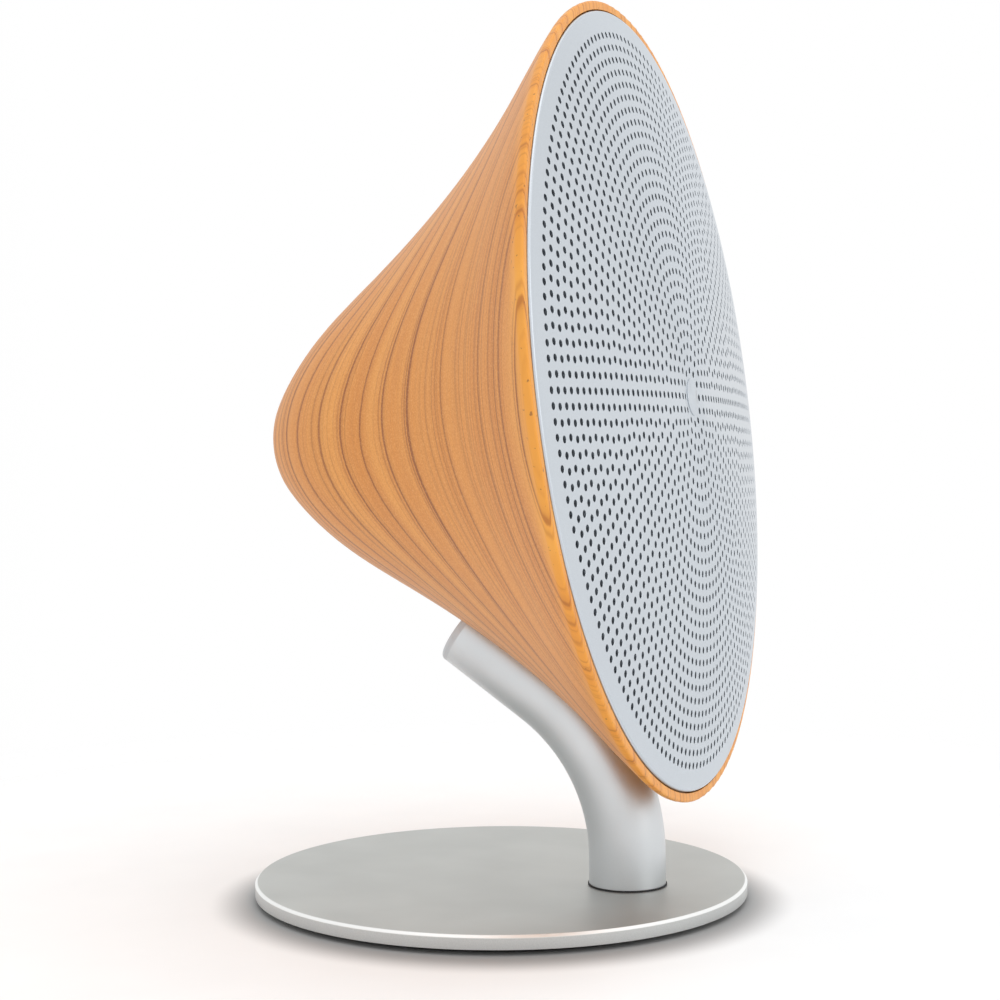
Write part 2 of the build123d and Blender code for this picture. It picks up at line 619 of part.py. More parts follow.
def battery_holder():
    cradle = block((-36, 36), (-10.8, 10.8), (HOLDER_BACK, CELL_Z - 1))
    cradle += block((-5, 5), (-HOLDER_SCREW_Y - 3.5, HOLDER_SCREW_Y + 3.5), (HOLDER_BACK, HOLDER_BACK + 2.5))
    bed = Pos(0, 0, CELL_Z) * Rot(0, 90, 0) * Cylinder(CELL_R + 0.2, CELL_L + 1)
    cradle -= bed + block((-33, 33), (-CELL_R - 0.2, CELL_R + 0.2), (CELL_Z, CELL_Z + 10))
    for y in (-HOLDER_SCREW_Y, HOLDER_SCREW_Y):
        cradle -= Pos(0, y, 0) * ring(0, 1.5, HOLDER_BACK, HOLDER_BACK + 2.5)
    return cradle & (ring(0, 33.5, HOLDER_BACK, -69) + ring(0, 36.8, -69, -50))


def battery_cell():
    body = Rot(0, 90, 0) * Cylinder(CELL_R, CELL_L - 1.6)
    body = fillet(body.edges(), 0.8)
    tip = Pos(CELL_L / 2 - 0.6, 0, 0) * Rot(0, 90, 0) * Cylinder(2.8, 1.2)
    return Pos(-0.4, 0, CELL_Z) * (body + tip)


def holder_screws():
    screw = Pos(0, 0, HOLDER_BACK + 2.5) * pan_screw(SHANK_R, 9, 2.6, 1.8)
    return [Pos(0, y, 0) * screw for y in (-HOLDER_SCREW_Y, HOLDER_SCREW_Y)]


def build_electronics():
    save_on_horn("main_board", main_board())
    save_on_horn("board_screws", *board_screws())
    save_on_horn("board_chips", *board_chips())
    save_on_horn("board_connectors", *board_connectors())
    save_on_horn("battery_holder", battery_holder())
    save_on_horn("battery_cell", battery_cell())
    save_on_horn("holder_screws", *holder_screws())


# ---- leads, each from plug to terminal ----
PLUG_BACK = BOARD_BACK - PLUG_H


def port_route():
    """From the port board, up through the saddle and round the driver to the main board."""
    board = PORT_BOARD_TOP - PORT_BOARD_T
    in_stem = [(0, -1, board), (0, -1, LEAD_HOLE_AT), (0, 24, LEAD_HOLE_AT)]
    to_horn_frame = HORN.location.inverse() * STEM_END.location
    start = [(to_horn_frame * Pos(*point)).position for point in in_stem]
    round_driver = [(-36, -24, -30), (-41, 16, -28), (-20, 49, -26)]
    return start + round_driver + [(-PLUG_X, PLUG_Y, -26), (-PLUG_X, PLUG_Y, PLUG_BACK)]


def build_leads():
    speaker = [(0, PLUG_Y, PLUG_BACK), (0, PLUG_Y, -26), (3, 34, -26), (3, 34, SHELF_Z - 3.2)]
    battery = [(PLUG_X, PLUG_Y, PLUG_BACK), (PLUG_X, PLUG_Y, -30), (26, 30, -44), (30, 9.9, -60)]
    save_on_horn("speaker_lead", lead(speaker, 2.5))
    save_on_horn("port_lead", lead(port_route(), [2.2, 6, 9, 9, 5, 3], 0.8))
    save_on_horn("battery_lead", lead(battery, 6))


build_base()
build_stem()
build_end_cap()
save_on_horn("horn_shell", horn_shell())
build_front()
build_baffle()
build_driver()
build_electronics()
build_leads()
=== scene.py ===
"""Looks of a wooden table loudspeaker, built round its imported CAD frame. Metres, +Z up, the horn faces -Y."""

import json
from math import asin, cos, hypot, pi, radians, sin, sqrt

import bpy
from mathutils import Matrix, Vector


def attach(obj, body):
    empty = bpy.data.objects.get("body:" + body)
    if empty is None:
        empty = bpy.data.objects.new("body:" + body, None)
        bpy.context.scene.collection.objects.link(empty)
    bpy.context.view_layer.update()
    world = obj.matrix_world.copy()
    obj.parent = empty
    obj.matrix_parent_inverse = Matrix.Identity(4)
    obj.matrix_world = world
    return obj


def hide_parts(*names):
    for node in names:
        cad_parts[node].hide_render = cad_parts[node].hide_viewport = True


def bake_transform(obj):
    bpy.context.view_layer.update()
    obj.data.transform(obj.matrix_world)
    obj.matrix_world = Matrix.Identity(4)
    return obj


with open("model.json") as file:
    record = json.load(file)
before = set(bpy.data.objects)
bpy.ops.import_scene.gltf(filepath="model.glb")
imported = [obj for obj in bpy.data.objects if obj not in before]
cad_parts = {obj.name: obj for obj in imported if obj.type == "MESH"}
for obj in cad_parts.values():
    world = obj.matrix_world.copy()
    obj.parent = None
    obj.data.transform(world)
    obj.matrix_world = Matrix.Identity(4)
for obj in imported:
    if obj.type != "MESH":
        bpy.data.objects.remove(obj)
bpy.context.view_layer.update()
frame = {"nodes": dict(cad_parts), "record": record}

MM = 0.001
SHARP_EDGE = radians(30)

# ---- the horn's own frame: Z forward out of the mouth, Y up along the grille ----
HORN_TILT = radians(7.0)
HORN_ORIGIN = Vector((0, -42.7, 130.5)) * MM
HORN_OUT = Vector((0, -cos(HORN_TILT), sin(HORN_TILT)))
HORN_UP = Vector((0, sin(HORN_TILT), cos(HORN_TILT)))
HORN_FRAME = Matrix.Translation(HORN_ORIGIN) @ Matrix(((1, 0, 0), HORN_UP, HORN_OUT)).transposed().to_4x4()


# ---- mesh building ----
class Shape:
    """Collects vertices and faces, in millimetres, and turns them into one object."""

    def __init__(self):
        self.points, self.faces = [], []

    def add(self, points):
        """Adds points and returns their numbers."""
        first = len(self.points)
        self.points.extend(tuple(p) for p in points)
        return list(range(first, len(self.points)))

    def circle(self, radius, height, count, start=0.0):
        """Points of a level circle, evenly spaced."""
        turns = [start + 2 * pi * i / count for i in range(count)]
        return self.add((radius * cos(a), radius * sin(a), height) for a in turns)

    def skin(self, lower, upper):
        """Quads between two closed rows of as many points."""
        count = len(lower)
        for i in range(count):
            j = (i + 1) % count
            self.faces.append((lower[i], lower[j], upper[j], upper[i]))

    def zip(self, inner, outer, flip=False):
        """Triangles between two circles with different counts, both starting near the same angle."""
        a, b = len(inner), len(outer)
        i = j = 0
        while i < a or j < b:
            if j * a <= i * b and j < b or i == a:
                face = (inner[i % a], outer[j % b], outer[(j + 1) % b])
                j += 1
            else:
                face = (inner[i % a], outer[j % b], inner[(i + 1) % a])
                i += 1
            self.faces.append(face[::-1] if flip else face)

    def build(self, name, slot):
        """Object in the horn's frame, with the look of its slot."""
        mesh = bpy.data.meshes.new(name)
        mesh.from_pydata([tuple(v * MM for v in p) for p in self.points], [], self.faces)
        mesh.transform(HORN_FRAME)
        mesh.materials.append(LOOKS[slot])
        mesh.polygons.foreach_set("use_smooth", [True] * len(mesh.polygons))
        mesh.set_sharp_from_angle(angle=SHARP_EDGE)
        mesh.update()
        piece = bpy.data.objects.new(name, mesh)
        bpy.context.scene.collection.objects.link(piece)
        return piece


# ---- materials ----
class Look:
    """One material, built from nodes."""

    def __init__(self, name, **settings):
        self.material = bpy.data.materials.new(name)
        self.material.use_nodes = True
        self.tree = self.material.node_tree
        self.shader = self.tree.nodes["Principled BSDF"]
        for socket, value in settings.items():
            self.shader.inputs[socket.replace("_", " ")].default_value = value
        place = self.node("ShaderNodeTexCoord")
        self.place = place.outputs["Object"]

    def node(self, kind, inputs=None, **settings):
        """New node, with values or links for its inputs."""
        node = self.tree.nodes.new(kind)
        for key, value in settings.items():
            setattr(node, key, value)
        for key, value in (inputs or {}).items():
            self.plug(value, node.inputs[key])
        return node

    def plug(self, value, socket):
        """Links an output to a socket, or sets the socket to a value."""
        if isinstance(value, bpy.types.NodeSocket):
            self.tree.links.new(value, socket)
        elif hasattr(value, "__len__") and len(value) == 3 and len(socket.default_value) == 4:
            socket.default_value = (*value, 1)
        else:
            socket.default_value = value

    def math(self, operation, a, b=0.0, clamp=False):
        node = self.node("ShaderNodeMath", {0: a, 1: b}, operation=operation, use_clamp=clamp)
        return node.outputs[0]

    def vector(self, operation, a, b=(0, 0, 0)):
        node = self.node("ShaderNodeVectorMath", {0: a, 1: b}, operation=operation)
        return node.outputs["Value" if operation == "DOT_PRODUCT" else "Vector"]

    def scaled(self, factors):
        """Object coordinates times a factor for each axis."""
        return self.vector("MULTIPLY", self.place, factors)

    def from_axis(self, shift=(0, 0, 0)):
        """Level distance from the base's axis, or from a place beside it."""
        flat = self.vector("MULTIPLY", self.vector("ADD", self.place, shift), (1, 1, 0))
        return self.node("ShaderNodeVectorMath", {0: flat}, operation="LENGTH").outputs["Value"]

    def noise(self, where, scale, detail=2.0, roughness=0.5, dimensions="3D"):
        key = "W" if dimensions == "1D" else "Vector"
        settings = {key: where, "Scale": scale, "Detail": detail, "Roughness": roughness}
        return self.node("ShaderNodeTexNoise", settings, noise_dimensions=dimensions).outputs[0]

    def remap(self, value, low, high, to_low=0.0, to_high=1.0, smooth=False):
        """Value moved from one range to another, and held at the ends."""
        kind = "SMOOTHSTEP" if smooth else "LINEAR"
        settings = {0: value, 1: low, 2: high, 3: to_low, 4: to_high}
        return self.node("ShaderNodeMapRange", settings, interpolation_type=kind).outputs[0]

    def mix(self, amount, a, b):
        """Colour between a and b; a colour mix keeps its sockets at these places."""
        node = self.node("ShaderNodeMix", data_type="RGBA")
        for place, value in ((0, amount), (6, a), (7, b)):
            self.plug(value, node.inputs[place])
        return node.outputs[2]

    def bump(self, height, strength, depth):
        node = self.node("ShaderNodeBump", {"Height": height, "Strength": strength, "Distance": depth})
        self.tree.links.new(node.outputs[0], self.shader.inputs["Normal"])

    def paint(self, colour, roughness=None):
        """Gives the shader its colour and, if it varies, its roughness."""
        self.plug(colour, self.shader.inputs["Base Color"])
        if roughness is not None:
            self.plug(roughness, self.shader.inputs["Roughness"])
        return self.material


def srgb(*values):
    """Linear colour from 0-255 display values."""
    share = [v / 255 for v in values]
    return tuple(v / 12.92 if v <= 0.04045 else ((v + 0.055) / 1.055) ** 2.4 for v in share)


def lines(look, across, spacing, width, strength):
    """Irregular thin lines across a direction, each with its own strength."""
    cells = look.node("ShaderNodeTexVoronoi", {"W": across, "Scale": 1 / spacing}, voronoi_dimensions="1D")
    near = look.remap(cells.outputs["Distance"], 0.0, width / spacing, 1.0, 0.0, smooth=True)
    weight = look.node("ShaderNodeSeparateColor", {0: cells.outputs["Color"]}).outputs[0]
    return look.math("MULTIPLY", near, look.remap(weight, 0.0, 1.0, strength * 0.25, strength))


def wood():
    """Straight-grained light timber: growth layers stand across X, so they show as nested curves."""
    look = Look("horn_wood", Roughness=0.5, Coat_Weight=0.16, Coat_Roughness=0.35, Coat_IOR=1.45)
    sway = look.noise(look.scaled((30, 9, 9)), 1.0, 2.0)
    x = look.node("ShaderNodeSeparateXYZ", {0: look.place}).outputs[0]
    across = look.math("ADD", x, look.remap(sway, 0, 1, -0.0035, 0.0035))
    bands = look.noise(across, 95, 2.0, 0.55, "1D")
    clusters = look.remap(look.noise(across, 160, 1.0, 0.5, "1D"), 0.42, 0.6)
    main = lines(look, across, 0.0034, 0.00040, 0.9)
    shade = lines(look, look.math("ADD", across, 0.0002), 0.0034, 0.0012, 0.32)
    fine = look.math("MULTIPLY", lines(look, across, 0.0012, 0.00028, 0.7), clusters)
    fibre = look.noise(look.scaled((2600, 60, 60)), 1.0, 3.0, 0.6)
    speckle = look.noise(look.place, 2200, 2.0, 0.7)
    base = look.mix(look.remap(bands, 0.3, 0.7), srgb(214, 134, 50), srgb(234, 160, 74))
    base = look.mix(look.remap(fibre, 0.3, 0.7, 0.22, 0.0), base, srgb(176, 102, 40))
    dark = look.math("ADD", look.math("ADD", main, shade), fine, clamp=True)
    grained = look.mix(dark, base, srgb(150, 80, 16))
    grained = look.mix(look.remap(speckle, 0.5, 0.75, 0.0, 0.30), grained, srgb(246, 196, 128))
    grained = look.mix(look.remap(speckle, 0.25, 0.5, 0.22, 0.0), grained, srgb(140, 76, 26))
    ahead = look.vector("DOT_PRODUCT", look.vector("SUBTRACT", look.place, HORN_ORIGIN), HORN_OUT)
    lip = look.remap(ahead, -0.0045, -0.0015, smooth=True)
    warm = look.mix(look.remap(bands, 0.3, 0.7), srgb(228, 146, 44), srgb(240, 166, 64))
    warm = look.mix(look.math("MULTIPLY", dark, 0.7), warm, srgb(166, 86, 18))
    flecks = look.remap(look.noise(look.place, 900, 1.0, 0.5), 0.70, 0.76)
    warm = look.mix(look.math("MULTIPLY", flecks, 0.7), warm, srgb(130, 80, 40))
    look.bump(look.math("SUBTRACT", fibre, look.math("MULTIPLY", dark, 0.4)), 0.05, 0.0003)
    return look.paint(look.mix(lip, grained, warm), look.remap(fibre, 0.2, 0.8, 0.44, 0.56))


def blasted(name, colour, grain, roughness, depth):
    """Metal with a fine even grain, such as bead-blasted or anodised aluminium."""
    look = Look(name, Metallic=1.0)
    mottle = 0.06
    grains = look.noise(look.place, 1 / grain, 3.0, 0.65)
    clouds = look.noise(look.place, 45, 2.0, 0.5)
    light = tuple(min(1.0, c * (1 + mottle)) for c in colour)
    dark = tuple(c * (1 - mottle) for c in colour)
    tint = look.mix(look.remap(clouds, 0.3, 0.7), dark, light)
    tint = look.mix(look.remap(grains, 0.3, 0.7, 0.0, 0.5), tint, light)
    look.bump(grains, 0.22, depth)
    return look.paint(tint, look.remap(grains, 0.3, 0.7, roughness - 0.05, roughness + 0.05))


# The plate's side band is painted brighter and its chamfer carries a painted highlight; these radii and heights
# bound them
PLATE_EDGE_R, CHAMFER_LOW = 0.0642, 0.0042      # where the plate's bright edge and its chamfer begin


def base_metal():
    """Satin plate whose machined edge is painted brighter than its face, with a painted near-white highlight on
    the chamfer.
    """
    look = Look("base_metal", Metallic=1.0)
    grains = look.noise(look.place, 3300, 3.0, 0.65)
    clouds = look.noise(look.place, 45, 2.0, 0.5)
    height = look.node("ShaderNodeSeparateXYZ", {0: look.place}).outputs[2]
    # Painted light: the side band gets a lighter tint and the chamfer a near-white painted highlight
    side = look.remap(look.from_axis(), PLATE_EDGE_R, PLATE_EDGE_R + 0.0003)
    chamfer_highlight = look.math("MULTIPLY", side, look.remap(height, CHAMFER_LOW, CHAMFER_LOW + 0.0002))
    face = look.mix(look.remap(clouds, 0.3, 0.7), srgb(182, 184, 181), srgb(192, 194, 191))
    face = look.mix(look.remap(grains, 0.3, 0.7, 0.0, 0.5), face, srgb(198, 200, 197))
    rim = look.mix(look.remap(grains, 0.3, 0.7), srgb(206, 208, 207), srgb(218, 220, 219))
    tint = look.mix(chamfer_highlight, look.mix(side, face, rim), srgb(248, 249, 248))
    look.bump(grains, 0.22, 0.00003)
    return look.paint(tint, look.remap(grains, 0.3, 0.7, 0.40, 0.50))


def spun_aluminium():
    """Anodised sheet with a faint turned finish round the horn's axis."""
    look = Look("grille_aluminium", Metallic=1.0, Anisotropic=0.7)
    grains = look.noise(look.place, 3300, 3.0, 0.65)
    out = look.vector("SUBTRACT", look.place, HORN_ORIGIN)
    round_axis = look.vector("NORMALIZE", look.vector("CROSS_PRODUCT", HORN_OUT, out))
    look.plug(round_axis, look.shader.inputs["Tangent"])
    tint = look.mix(look.remap(grains, 0.3, 0.7), srgb(200, 206, 212), srgb(210, 216, 222))
    look.bump(grains, 0.2, 0.00001)
    return look.paint(tint, look.remap(grains, 0.3, 0.7, 0.34, 0.42))


def moulded(name, colour, grain, roughness, depth):
    """Plastic, rubber or paper: a fine texture with slight changes of tone."""
    look = Look(name)
    grains = look.noise(look.place, 1 / grain, 3.0, 0.6)
    clouds = look.noise(look.place, 70, 2.0, 0.5)
    worn = tuple(min(1.0, c * 1.25 + 0.01) for c in colour)
    tint = look.mix(look.remap(clouds, 0.35, 0.7, 0.0, 0.5), colour, worn)
    look.bump(grains, 0.3, depth)
    return look.paint(tint, look.remap(grains, 0.25, 0.75, roughness - 0.06, roughness + 0.08))


def woven(name, colour, highlight, thread):
    """Plain weave in the horn's grille plane: two sets of threads at right angles."""
    look = Look(name, Roughness=0.9, Sheen_Weight=0.25)
    waves = []
    for direction in ((1, 0, 0), HORN_UP):
        along = look.vector("DOT_PRODUCT", look.place, direction)
        waves.append(look.math("SINE", look.math("MULTIPLY", along, 2 * pi / thread)))
    weave = look.math("MULTIPLY", *waves)
    fuzz = look.noise(look.place, 3000, 2.0, 0.6)
    tint = look.mix(look.remap(weave, -1, 1, 0.0, 0.7), colour, highlight)
    tint = look.mix(look.remap(fuzz, 0.3, 0.7, 0.0, 0.3), tint, highlight)
    look.bump(weave, 0.6, thread * 0.2)
    return look.paint(tint)


def circuit_board():
    """Green solder mask with faint tracks."""
    look = Look("board_green", Roughness=0.35, Coat_Weight=0.4)
    cells = look.node("ShaderNodeTexBrick", {"Vector": look.scaled((900, 900, 900)), "Scale": 1.0})
    tracks = look.mix(cells.outputs["Fac"], srgb(18, 84, 48), srgb(34, 120, 70))
    pads = look.remap(look.noise(look.place, 800, 1.0, 0.5), 0.66, 0.68)
    look.bump(cells.outputs["Fac"], 0.3, 0.00003)
    return look.paint(look.mix(pads, tracks, srgb(205, 200, 190)))


def windings():
    """Copper wire laid turn on turn round the coil, with painted shade in the grooves and a painted highlight
    on each turn.
    """
    look = Look("coil_copper", Metallic=0.9)
    turn = 0.00025
    ahead = look.vector("DOT_PRODUCT", look.place, HORN_OUT)
    wave = look.math("SINE", look.math("MULTIPLY", ahead, 2 * pi / turn))
    look.bump(wave, 0.6, turn * 0.3)
    # Painted shade and highlight: each turn is tinted darker in the grooves between turns and lighter on its
    # crest
    tint = look.mix(look.remap(wave, -1, 1), srgb(120, 56, 26), srgb(214, 124, 70))
    return look.paint(tint, look.remap(wave, -1, 1, 0.45, 0.25))


def make_looks():
    """One look for each material slot. Settings are colour, grain size, roughness and bump depth."""
    metal = {
        "stem_aluminium": (srgb(214, 217, 219), 0.00022, 0.42, 0.00002),
        "plain_aluminium": (srgb(190, 192, 196), 0.0006, 0.35, 0.00002),
        "screw_steel": (srgb(150, 152, 156), 0.0004, 0.32, 0.00002),
        "socket_steel": (srgb(180, 182, 184), 0.0004, 0.28, 0.00001),
        "zinc_steel": (srgb(188, 180, 150), 0.0007, 0.38, 0.00003),
    }
    moulding = {
        "foot_rubber": (srgb(46, 46, 47), 0.0008, 0.85, 0.00008),
        "dark_gasket": (srgb(40, 40, 42), 0.0006, 0.8, 0.00004),
        "cap_plastic": (srgb(196, 199, 202), 0.0003, 0.45, 0.00002),
        "button_plastic": (srgb(78, 80, 82), 0.0003, 0.5, 0.00002),
        "black_plastic": (srgb(34, 34, 35), 0.0004, 0.5, 0.00003),
        "clear_plastic": (srgb(214, 232, 220), 0.0005, 0.2, 0.00001),
        "foam_black": (srgb(32, 32, 33), 0.0007, 0.95, 0.00015),
        "baffle_board": (srgb(38, 38, 40), 0.0006, 0.6, 0.00006),
        "basket_steel": (srgb(36, 36, 38), 0.0006, 0.4, 0.00004),
        "ferrite": (srgb(62, 62, 66), 0.0005, 0.6, 0.00004),
        "coil_former": (srgb(156, 110, 66), 0.0005, 0.5, 0.00002),
        "cone_paper": (srgb(48, 48, 51), 0.0009, 0.9, 0.00012),
        "spider_cloth": (srgb(196, 164, 92), 0.0005, 0.85, 0.0001),
        "strip_board": (srgb(150, 106, 62), 0.0005, 0.6, 0.00003),
        "chip_black": (srgb(30, 30, 31), 0.0003, 0.55, 0.00002),
        "plug_white": (srgb(228, 226, 214), 0.0005, 0.4, 0.00002),
        "cell_wrap": (srgb(44, 104, 176), 0.0012, 0.3, 0.00002),
        "lead_red": (srgb(170, 36, 32), 0.0006, 0.55, 0.00002),
        "lead_black": (srgb(34, 34, 36), 0.0006, 0.55, 0.00002),
    }
    looks = {slot: blasted(slot, *settings) for slot, settings in metal.items()}
    looks.update({slot: moulded(slot, *settings) for slot, settings in moulding.items()})
    looks["horn_wood"] = wood()
    looks["base_metal"] = base_metal()
    looks["grille_aluminium"] = spun_aluminium()
    looks["speaker_cloth"] = woven("speaker_cloth", srgb(36, 41, 47), srgb(60, 67, 74), 0.0006)
    looks["board_green"] = circuit_board()
    looks["coil_copper"] = windings()
    return looks


LOOKS = make_looks()


def dress_cad():
    """Give every CAD node the look of its material slot."""
    for part in frame["record"]["subparts"]:
        mesh = frame["nodes"][part["node"]].data
        mesh.materials.clear()
        mesh.materials.append(LOOKS[part["material_slot"]])
        mesh.polygons.foreach_set("material_index", [0] * len(mesh.polygons))


# ---- grille: a perforated shallow dome ----
GRILLE_R, GRILLE_T, GRILLE_EDGE, DOME_RISE = 99.4, 1.0, 1.2, 8.9
DOME_R = (GRILLE_R ** 2 + DOME_RISE ** 2) / (2 * DOME_RISE)
SKIRT_BACK, EDGE_ROUND = -1.2, 0.8
DIMPLE_R, DIMPLE_DEPTH, FLOOR_R = 11.0, 0.4, 5.2
BADGE_R, BADGE_RISE = 4.8, 0.3
HOLE_R, HOLE_BEVEL = 0.88, 0.08
RINGS, FIRST_RING, RING_PITCH, LAST_RING_R = 29, 2, 3.194, 93.08
HOLE_SPACING, HOLE_START = 3.3725, radians(177.5)
INNER_RINGS, INNER_STEP, OUTER_STEP = 5, 6, 12
SIDE = 3                      # quads along each side of the cell round a hole
SEAM = 0.3                    # strip between one ring of cells and the next
BORDER_ROWS, BORDER_SIDES, EDGE_STEPS = (95.4, 96.6, 97.8), 360, 6
FLOOR_SIDES, BADGE_SIDES = 36, 72


def sheet_height(radius):
    """Outer face of the sheet: part of a large sphere, with a dimple in its centre."""
    dome = GRILLE_EDGE + sqrt(DOME_R ** 2 - radius ** 2) - sqrt(DOME_R ** 2 - GRILLE_R ** 2)
    share = min(max((DIMPLE_R - radius) / (DIMPLE_R - FLOOR_R), 0), 1)
    return dome - DIMPLE_DEPTH * share * share * (3 - 2 * share)


def ring_radius(number):
    """Radius of a ring of holes, counted from the centre."""
    return LAST_RING_R - RING_PITCH * (RINGS - number)


def holes_in_ring(number):
    """Counts go up in steps, smaller ones near the centre, as a ring gets room for more holes."""
    step = INNER_STEP if number <= INNER_RINGS else OUTER_STEP
    return step * int(2 * pi * ring_radius(number) / (step * HOLE_SPACING))


def cell_border(number, index):
    """Border of one hole's cell, anticlockwise from its inner corner, as (radius, angle)."""
    half, step = (RING_PITCH - SEAM) / 2, 2 * pi / holes_in_ring(number)
    low, high = ring_radius(number) - half, ring_radius(number) + half
    start = HOLE_START + step * (index - 0.5)
    share = [i / SIDE for i in range(SIDE)]
    border = [(low + (high - low) * s, start) for s in share]
    border += [(high, start + step * s) for s in share]
    border += [(high + (low - high) * s, start + step) for s in share]
    border += [(low, start + step * (1 - s)) for s in share]
    return border


def at_polar(radius, angle, drop):
    """Point a drop below the sheet's outer face."""
    return (radius * cos(angle), radius * sin(angle), sheet_height(radius) - drop)


def hole_ring(ring_r, angle, radius, drop):
    """Circle of points round a hole, in the order of its cell's border."""
    centre_x, centre_y, count = ring_r * cos(angle), ring_r * sin(angle), 4 * SIDE
    points = []
    for i in range(count):
        turn = angle - 3 * pi / 4 + 2 * pi * i / count
        x, y = centre_x + radius * cos(turn), centre_y + radius * sin(turn)
        points.append((x, y, sheet_height(hypot(x, y)) - drop))
    return points


def perforated_ring(shape, number, drop, rim_r, flip):
    """One face of one ring of cells. Returns its inner and outer circles and the rims of its holes."""
    count = holes_in_ring(number)
    inner, outer, rims = [], [], []
    side = first_side = None
    for index in range(count):
        border = cell_border(number, index)
        if side is None:
            side = first_side = shape.add(at_polar(r, a, drop) for r, a in border[:SIDE + 1])
        top = shape.add(at_polar(r, a, drop) for r, a in border[SIDE + 1:2 * SIDE])
        bottom = shape.add(at_polar(r, a, drop) for r, a in border[3 * SIDE + 1:])
        far = first_side
        if index < count - 1:
            far = shape.add(at_polar(r, a, drop) for r, a in reversed(border[2 * SIDE:3 * SIDE + 1]))
        loop = side + top + far[::-1] + bottom
        angle = HOLE_START + 2 * pi * index / count
        rim = shape.add(hole_ring(ring_radius(number), angle, rim_r, drop))
        shape.skin(*((rim, loop) if flip else (loop, rim)))
        rims.append((ring_radius(number), angle, rim))
        inner += [side[0]] + bottom[::-1]
        outer += [side[-1]] + top
        side = far
    return inner, outer, rims


def grille_face(shape, drop, rim_r, flip):
    """Every ring of cells on one face, zipped into one sheet. Returns its inmost and outmost circles."""
    inmost, last, rims = None, None, []
    for number in range(FIRST_RING, RINGS + 1):
        inner, outer, found = perforated_ring(shape, number, drop, rim_r, flip)
        rims += found
        if last is None:
            inmost = inner
        else:
            shape.zip(last, inner, flip)
        last = outer
    return inmost, last, rims


def grille():
    """The perforated sheet: both faces, the walls of the holes, the border and the centre."""
    shape = Shape()
    top_in, top_out, top_rims = grille_face(shape, 0.0, HOLE_R + HOLE_BEVEL, False)
    under_in, under_out, under_rims = grille_face(shape, GRILLE_T, HOLE_R, True)
    for (ring_r, angle, top), (_, _, under) in zip(top_rims, under_rims):
        wall = shape.add(hole_ring(ring_r, angle, HOLE_R, HOLE_BEVEL))
        shape.skin(top, wall)
        shape.skin(wall, under)
    plain_border(shape, top_out, under_out)
    dimple_floor(shape, top_in, under_in)
    piece = shape.build("grille_perforated", "grille_aluminium")
    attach(piece, "cabinet")
    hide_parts("grille")


def plain_border(shape, top_out, under_out):
    """Plain border, rolled edge and turned-back skirt."""
    start = HOLE_START - pi / holes_in_ring(RINGS)
    lean = pi / 2 - asin(GRILLE_R / DOME_R)
    centre_r = GRILLE_R - EDGE_ROUND
    first = centre_r + EDGE_ROUND * cos(lean)
    centre_z = sheet_height(first) - EDGE_ROUND * sin(lean)
    under = GRILLE_R - GRILLE_T
    rows = [(r, sheet_height(r)) for r in BORDER_ROWS]
    turns = [lean * (1 - i / EDGE_STEPS) for i in range(EDGE_STEPS + 1)]
    rows += [(centre_r + EDGE_ROUND * cos(a), centre_z + EDGE_ROUND * sin(a)) for a in turns]
    rows += [(GRILLE_R, SKIRT_BACK), (under, SKIRT_BACK)]
    rows += [(r, sheet_height(r) - GRILLE_T) for r in (under,) + BORDER_ROWS[::-1]]
    circles = [shape.circle(r, z, BORDER_SIDES, start) for r, z in rows]
    shape.zip(top_out, circles[0])
    for inner, outer in zip(circles, circles[1:]):
        shape.skin(inner, outer)
    shape.zip(under_out, circles[-1], flip=True)


def dimple_floor(shape, top_in, under_in):
    """Flat middle of the dimple, on both faces."""
    start = HOLE_START - pi / holes_in_ring(FIRST_RING)
    for drop, edge, flip in ((0.0, top_in, False), (GRILLE_T, under_in, True)):
        floor = shape.circle(FLOOR_R, sheet_height(FLOOR_R) - drop, FLOOR_SIDES, start)
        shape.zip(floor, edge, flip)
        shape.faces.append(tuple(floor[::-1] if flip else floor))


def badge():
    """Plain round badge on the dimple's floor, with a softly rounded edge."""
    shape = Shape()
    floor = sheet_height(0)
    section = [(BADGE_R, 0.0), (BADGE_R, 0.1), (BADGE_R - 0.12, 0.22), (BADGE_R - 0.35, BADGE_RISE)]
    circles = [shape.circle(r, floor + rise, BADGE_SIDES) for r, rise in section]
    for outer, inner in zip(circles, circles[1:]):
        shape.skin(outer, inner)
    shape.faces.append(tuple(circles[-1]))
    shape.faces.append(tuple(circles[0][::-1]))
    piece = shape.build("grille_badge_plain", "grille_aluminium")
    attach(piece, "cabinet")
    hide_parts("grille_badge")


# ---- cloth behind the grille ----
CLOTH_R, CLOTH_GAP, CLOTH_STEPS, CLOTH_SIDES = 96.5, 0.45, 24, 128


def cloth():
    """One sheet stretched a little behind the grille, following its dome."""
    shape = Shape()
    radii = [FLOOR_R + (CLOTH_R - FLOOR_R) * i / CLOTH_STEPS for i in range(CLOTH_STEPS + 1)]
    drop = GRILLE_T + CLOTH_GAP
    circles = [shape.circle(r, sheet_height(r) - drop, CLOTH_SIDES) for r in radii]
    for inner, outer in zip(circles, circles[1:]):
        shape.skin(inner, outer)
    shape.faces.append(tuple(circles[0]))
    piece = shape.build("acoustic_cloth_sheet", "speaker_cloth")
    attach(piece, "cabinet")
    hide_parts("acoustic_cloth")


# ---- the surround and spider round the cone ----
FLANGE_FRONT, CONE_RIM_R = -2.9, 28.0
ROLL_R, ROLL_T, LIP_W, ROLL_STEPS = 3.5, 0.6, 3.0, 12
FORMER_R, SHELF_R, SHELF_TOP = 10.25, 19.5, -16.5
SPIDER_WAVES, SPIDER_RISE, SPIDER_T, WAVE_STEPS = 3, 0.7, 0.35, 8
FLAT_IN, FLAT_OUT, SHELF_GRIP = 0.7, 0.3, 2.0
SECTORS, SECTOR_STEPS = 16, 4


